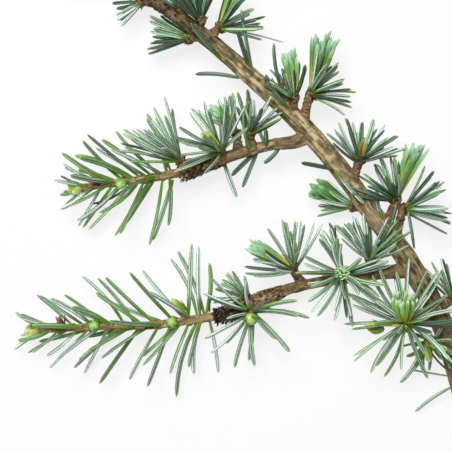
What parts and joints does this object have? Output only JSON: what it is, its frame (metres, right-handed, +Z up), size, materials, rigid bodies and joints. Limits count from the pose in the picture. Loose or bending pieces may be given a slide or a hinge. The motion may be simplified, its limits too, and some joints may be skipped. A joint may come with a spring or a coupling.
{
  "type": "cut branch of blue atlas cedar",
  "caption": "Cut evergreen branch lying flat: a tapering stem with side shoots, short spurs that end in needle rosettes, and long shoots set with single needles.",
  "frame": {"origin": "middle of the bounding box in X and Y, on the level surface that the branch lies on", "axes": "+Z up from the surface, +Y towards the leading shoot, -X towards the two side shoots' tips"},
  "size_m": [0.141, 0.1578, 0.0309],
  "materials": {
    "bark": "rough olive-brown bark with lengthwise ridges and pale streaks",
    "shoot_bark": "rough brown bark of young shoots, ringed and scaly in places",
    "needles": "waxy blue-green needles with pale lines along them"
  },
  "bodies": {
    "root": {"main_stem": "bark", "upper_side_shoot": "shoot_bark", "lower_side_shoot": "shoot_bark", "leading_shoot": "needles", "upper_shoot_tip": "needles", "lower_shoot_tip": "needles", "spur_foot_right": "needles", "spur_small": "needles", "spur_front": "needles", "spur_right_edge": "needles", "spur_right_low": "needles", "spur_right_tuft": "needles", "spur_left_tuft": "needles", "spur_right_bud": "needles", "spur_middle_right": "needles", "spur_middle_left": "needles", "spur_upper_left": "needles", "spur_upper_right": "needles", "spur_upper_front": "needles", "spur_upper_middle": "needles", "spur_top_left": "needles", "spur_top_right": "needles", "upper_spur_stem": "needles", "upper_spur_tuft": "needles", "upper_spur_front": "needles", "upper_spur_scales": "needles", "lower_spur_stem": "needles", "lower_spur_front": "needles", "lower_spur_tuft": "needles", "lower_spur_bud": "needles", "lower_spur_back": "needles"}
  },
  "joints": []
}
